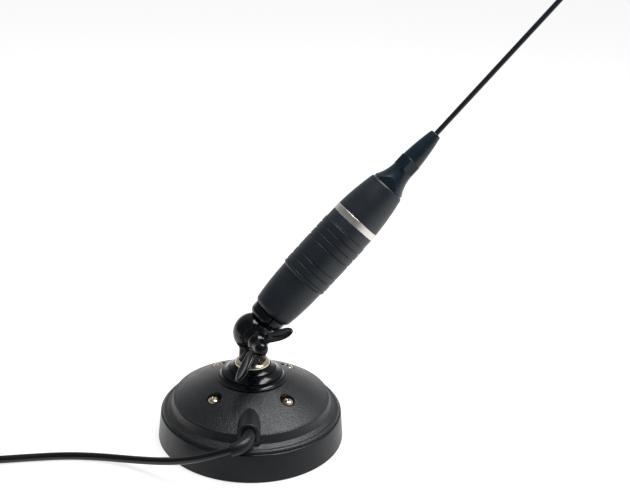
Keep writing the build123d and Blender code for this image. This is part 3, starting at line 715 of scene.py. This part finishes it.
# %% Paddle
paddle_outline = [
    (6.2, 14.8), (12.4, 19.2), (18.0, 23.8), (22.6, 28.6), (25.0, 33.2), (24.3, 36.8),
    (20.6, 37.9), (15.4, 35.4), (10.2, 30.4), (5.2, 24.6), (1.0, 21.5), (1.0, 14.0),
]
paddle_dish = [
    (10.6, 20.4), (13.3, 22.4), (16.9, 25.5), (20.6, 29.6), (22.5, 33.1), (22.0, 35.2),
    (19.8, 35.6), (16.0, 33.0), (12.4, 28.9), (10.6, 25.6), (9.8, 23.2), (9.7, 21.2),
]
dish_centre = Vector((16.0, 28.4))
paddle_loops = [(paddle_dish, 0.75, 0.2), (paddle_dish, 1.25, 0.0), (paddle_outline, 1.15, 0.02)]
paddle_rounding = 3


def paddle(side):
    """Subdivided wing on one side of the screw: rim, inner edge and dish on both faces."""
    shape = bmesh.new()
    loops = []
    lower_loops = [(points, -level, shrink) for points, level, shrink in paddle_loops]
    for points, level, shrink in lower_loops + paddle_loops[::-1]:
        loop = []
        for point in points:
            reach, height = Vector(point).lerp(dish_centre, shrink)
            loop.append(shape.verts.new((side * reach * MM, level * MM, height * MM)))
        loops.append(loop)
    for lower, upper in zip(loops, loops[1:]):
        for index in range(len(lower)):
            following = (index + 1) % len(lower)
            shape.faces.new((lower[index], lower[following], upper[following], upper[index]))
    shape.faces.new(loops[0][::-1])
    shape.faces.new(loops[-1])
    bmesh.ops.recalc_face_normals(shape, faces=shape.faces)
    made = new_object("paddle", shape)
    rounder = made.modifiers.new("round", "SUBSURF")
    rounder.levels = rounder.render_levels = paddle_rounding
    return settle(made)


# %% [markdown]
# The hub's barrel and its round end are two arcs. Each has a radius, the height of its centre, and
# a first and a last angle in radians.

# %% Cast the screw
screw_seat = 11.9
hub_arcs = ((6.6, 15.4, -0.5, 0.75), (4.7, 24.9, -0.45, pi / 2))
arc_step = 0.115
wing_heading = 43.0
hub_outline = [(0, -9.0), (2.5, -9.0), (2.95, -8.5), (2.95, screw_seat - 0.4)]
hub_outline += [(3.3, screw_seat), (5.6, screw_seat)]
for radius, centre, first, last in hub_arcs:
    for angle in stepped(first, last, arc_step):
        hub_outline.append((radius * cos(angle), centre + radius * sin(angle)))
wing_screw = lathe("winged_screw", hub_outline, sides=72)
paddles = [paddle(side) for side in (1, -1)]
cast = bmesh.new()
for piece in (wing_screw, *paddles):
    cast.from_mesh(piece.data)
cast.to_mesh(wing_screw.data)
cast.free()
for piece in paddles:
    bpy.data.objects.remove(piece)
melt = wing_screw.modifiers.new("melt", "REMESH")
melt.mode = "VOXEL"
melt.voxel_size = 0.3 * MM
melt.use_smooth_shade = True
paint_flow = wing_screw.modifiers.new("flow", "SMOOTH")
paint_flow.factor = 0.5
paint_flow.iterations = 8
settle(wing_screw)
wing_place = on_hinge @ Matrix.Rotation(radians(wing_heading), 4, "Z")
dress(wing_screw, gloss_black, wing_place, "wing", "wing_screw")

# %% [markdown]
# ## Ball joint and contact ring
#
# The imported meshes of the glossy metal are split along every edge, and gloss shows it. So each is
# copied, its doubled points are merged, and only real edges stay sharp. The ball measures a little
# more in the photograph than in the CAD model. A radial push on the points that lie on the ball, or
# on the hollow that faces it, widens both by the same step, so the gap between them is kept.

# %% Smooth copies
ball_radius = 12.0
hollow_radius = 12.3
ball_tolerance = 0.02
ball_growth = 1.1
seat_depth = 8.8
sharp_angle = radians(30)


def smooth_copy(name):
    """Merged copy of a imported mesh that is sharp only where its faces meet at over 30 degrees."""
    shape = bmesh.new()
    shape.from_mesh(nodes[name].data)
    bmesh.ops.remove_doubles(shape, verts=shape.verts, dist=merge_distance * MM)
    made = new_object("smooth_" + name, shape)
    split_normals = made.data.attributes.get("custom_normal")
    if split_normals:
        made.data.attributes.remove(split_normals)
    made.data.set_sharp_from_angle(angle=sharp_angle)
    return made


def widen_ball(made):
    """Push the points on the ball and in its hollow outward, up to the screw's flat seat."""
    for vert in made.data.vertices:
        arm = vert.co - Vector((0, 0, hinge_height * MM))
        on_ball = ball_radius - ball_tolerance < arm.length / MM < hollow_radius + ball_tolerance
        if on_ball and arm.y > -seat_depth * MM:
            vert.co += arm.normalized() * ball_growth * MM


for name, body in (("lower_knuckle", "base"), ("upper_knuckle", "antenna"), ("mount_cone", "base")):
    copy = smooth_copy(name)
    if name.endswith("knuckle"):
        widen_ball(copy)
    dress(copy, gloss_black, on_base, body, name)

# %% Ring
ring_bore = 9.1
ring_radius = 11.8
ring_low, ring_high = [corner[2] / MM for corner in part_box("contact_ring")]
ring_outline = [(ring_bore, ring_low), (ring_radius, ring_low), (ring_radius, ring_high - 1.5)]
ring_outline += [(11.65, ring_high - 1.2), (9.45, ring_high + 0.35), (ring_bore, ring_high + 0.4)]
ring = lathe("nickel_ring", ring_outline, sides=128)
ring.data.set_sharp_from_angle(angle=sharp_angle)
dress(ring, nickel, on_base, "base", "contact_ring")

# %% [markdown]
# ## Loading coil
#
# Inside the housing, enamelled wire is wound on a plastic former. The wire is a helix, which is
# one node: its turns and its height are sizes of the tree, and a small circle is swept along it.

# %% Winding
winding_sizes = {
    "Turns": 56.0,
    "Radius": 12.45 * MM,
    "Height": 49.0 * MM,
    "Wire": 0.4 * MM,
    "Start": 42.5 * MM,
}
wire_points = 28
wire_sides = 8
winding_tree, sizes_in = new_tree("winding", winding_sizes)
helix = add_node(
    winding_tree,
    "GeometryNodeCurveSpiral",
    Resolution=wire_points,
    Rotations=sizes_in["Turns"],
    Start_Radius=sizes_in["Radius"],
    End_Radius=sizes_in["Radius"],
    Height=sizes_in["Height"],
)
lift = add_node(winding_tree, "ShaderNodeCombineXYZ", Z=sizes_in["Start"])
raised = add_node(
    winding_tree,
    "GeometryNodeTransform",
    Geometry=helix.outputs["Curve"],
    Translation=lift.outputs["Vector"],
)
section = add_node(
    winding_tree, "GeometryNodeCurvePrimitiveCircle", Resolution=wire_sides, Radius=sizes_in["Wire"]
)
wire = add_node(
    winding_tree,
    "GeometryNodeCurveToMesh",
    Curve=raised.outputs["Geometry"],
    Profile_Curve=section.outputs["Curve"],
    Fill_Caps=True,
)
end_tree(winding_tree, wire.outputs["Mesh"], copper)
winding = grow(new_object("winding_wire", bmesh.new()), winding_tree, winding_sizes)
dress(winding, copper, on_antenna, "antenna", "coil_winding")

# %% [markdown]
# ## Plug collar
#
# The plug's collar turns freely and has shallow flutes to grip. The collar is turned, and a tree
# presses the flutes in: the angle round the axis says how far a point is from the nearest flute,
# and the flute's own round section says how deep it goes there.

# %% Flute tree
flute_sizes = {
    "Flutes": 20,
    "Skin": 9.2 * MM,
    "Outer": 9.3 * MM,
    "Round": 0.9 * MM,
    "Offset": 0.5 * MM,
    "Low": 19.9 * MM,
    "High": 30.9 * MM,
}
flute_tree, sizes_in = new_tree("flutes", flute_sizes)
calc = partial(compute, flute_tree)
parts, flat, distance = about_axis(flute_tree)
angle = calc("ARCTAN2", parts["Y"], parts["X"])
step = calc("DIVIDE", 2 * pi, sizes_in["Flutes"])
nearest = calc("MULTIPLY", calc("ROUND", calc("DIVIDE", angle, step)), step)
aside = calc("MULTIPLY", calc("SUBTRACT", angle, nearest), sizes_in["Outer"])
square = calc("MULTIPLY", sizes_in["Round"], sizes_in["Round"])
rest = calc("SUBTRACT", square, calc("MULTIPLY", aside, aside))
half_round = calc("SQRT", calc("MAXIMUM", rest, 0.0))
sunk = calc("MAXIMUM", calc("SUBTRACT", half_round, sizes_in["Offset"]), 0.0)
above = calc("GREATER_THAN", parts["Z"], sizes_in["Low"])
below = calc("LESS_THAN", parts["Z"], sizes_in["High"])
outside = calc("GREATER_THAN", distance, sizes_in["Skin"])
chosen = calc("MULTIPLY", calc("MULTIPLY", above, below), outside)
fluted = press_inward(flute_tree, sizes_in["Geometry"], flat, distance, sunk, chosen)
end_tree(flute_tree, fluted, nickel)

# %% Collar
collar_radius = 9.3
collar_outline = [(6.35, 16.9), (8.1, 16.9), (8.5, 17.0), (9.2, 17.75), (collar_radius, 18.1)]
collar_outline += [(collar_radius, height) for height in stepped(18.4, 33.2, 0.2)]
collar_outline += [(9.2, 33.6), (9.0, 33.85), (8.7, 33.9), (7.95, 33.9), (7.95, 19.1), (6.35, 19.1)]
collar = grow(lathe("fluted_collar", collar_outline, sides=320), flute_tree, flute_sizes)
dress(collar, nickel, on_plug, "plug_collar", "plug_ring")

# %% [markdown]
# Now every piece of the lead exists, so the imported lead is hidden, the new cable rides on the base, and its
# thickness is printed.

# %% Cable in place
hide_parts("cable_run", "cable_coil", "cable_tail")
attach(cable, "base")
print("the lead is", 2 * cable_radius, "mm thick")

# %% [markdown]
# ## Floor and light
#
# The photograph is a product shot: a pale floor that runs out to white, and one softbox overhead,
# a little to the right. Camera and transmitted rays see a white world and a white floor. Mirrored
# rays see them white too behind the object and at its right, where the photograph's black pieces
# carry pale flanks, and darker at the front, where the photographer stood. Lengths on the floor
# are in metres here. On the world, a direction's parts go from minus one to one.

# %% White for some rays
def white_share(tree, mirrored_share):
    """One for camera and transmitted rays, and the given share for mirrored rays."""
    rays = add_node(tree, "ShaderNodeLightPath").outputs
    mirrored = compute(tree, "MULTIPLY", rays["Is Glossy Ray"], mirrored_share)
    watched = compute(tree, "MAXIMUM", rays["Is Camera Ray"], rays["Is Transmission Ray"])
    return compute(tree, "MAXIMUM", watched, mirrored)


# %% Floor
floor_reach = 3.0
floor_grey = 0.45
floor_roughness = 0.9
floor_glow = 0.8
rear_fade = (-0.16, 0.0)
right_fade = (0.03, 0.16)
floor_corners = [(x * floor_reach, y * floor_reach, 0) for x, y in ((-1, -1), (1, -1), (1, 1), (-1, 1))]
floor_mesh = bpy.data.meshes.new("floor")
floor_mesh.from_pydata(floor_corners, [], [(0, 1, 2, 3)])
floor = bpy.data.objects.new("floor", floor_mesh)
bpy.context.scene.collection.objects.link(floor)
floor_paint = bpy.data.materials.new("floor_paint")
floor_paint.use_nodes = True
tree = floor_paint.node_tree
shader = tree.nodes["Principled BSDF"]
shader.inputs["Base Color"].default_value = (floor_grey, floor_grey, floor_grey, 1)
shader.inputs["Roughness"].default_value = floor_roughness
shader.inputs["Emission Color"].default_value = (1, 1, 1, 1)
place = add_node(tree, "ShaderNodeTexCoord").outputs["Object"]
parts = add_node(tree, "ShaderNodeSeparateXYZ", Vector=place).outputs
paper = compute(tree, "MAXIMUM", fade(tree, parts["Y"], *rear_fade), fade(tree, parts["X"], *right_fade))
glow = compute(tree, "MULTIPLY", white_share(tree, paper), floor_glow)
tree.links.new(glow, shader.inputs["Emission Strength"])
floor_mesh.materials.append(floor_paint)
print("the floor reaches", floor_reach, "m each way")

# %% World
low_fade = (0.25, 0.02)
backdrop_heading = (0.6, 0.8)
backdrop_fade = (-0.1, 0.5)
room_strengths = (0.16, 0.4)
world = bpy.data.worlds.new("studio")
bpy.context.scene.world = world
world.use_nodes = True
tree = world.node_tree
background = tree.nodes["Background"]
background.inputs["Color"].default_value = (1, 1, 1, 1)
direction = add_node(tree, "ShaderNodeTexCoord").outputs["Generated"]
parts = add_node(tree, "ShaderNodeSeparateXYZ", Vector=direction).outputs
low = fade(tree, parts["Z"], *low_fade)
across = compute(tree, "MULTIPLY", parts["X"], backdrop_heading[0])
deep = compute(tree, "MULTIPLY", parts["Y"], backdrop_heading[1])
behind = fade(tree, compute(tree, "ADD", across, deep), *backdrop_fade)
white = white_share(tree, compute(tree, "MULTIPLY", low, behind))
room = fade(tree, behind, 0.0, 1.0, *room_strengths)
tree.links.new(fade(tree, white, 0.0, 1.0, room, 1.0), background.inputs["Strength"])
print("the room's strength goes from", room_strengths[0], "to", room_strengths[1])

# %% Softbox
key_place = Vector((0.45, -0.08, 1.25))
key_target = Vector((0.0, 0.0, 0.05))
key_light = bpy.data.lights.new("key", "AREA")
key_light.shape = "RECTANGLE"
key_light.size = 0.5
key_light.size_y = 0.9
key_light.energy = 16
key = bpy.data.objects.new("key", key_light)
key.location = key_place
key.rotation_euler = (key_target - key_place).to_track_quat("-Z", "Y").to_euler()
bpy.context.scene.collection.objects.link(key)
print("the softbox hangs", round(key_place.z, 2), "m above the floor")

# %% [markdown]
#
# Last, the view layer is brought up to date.

# %% Update
bpy.context.view_layer.update()
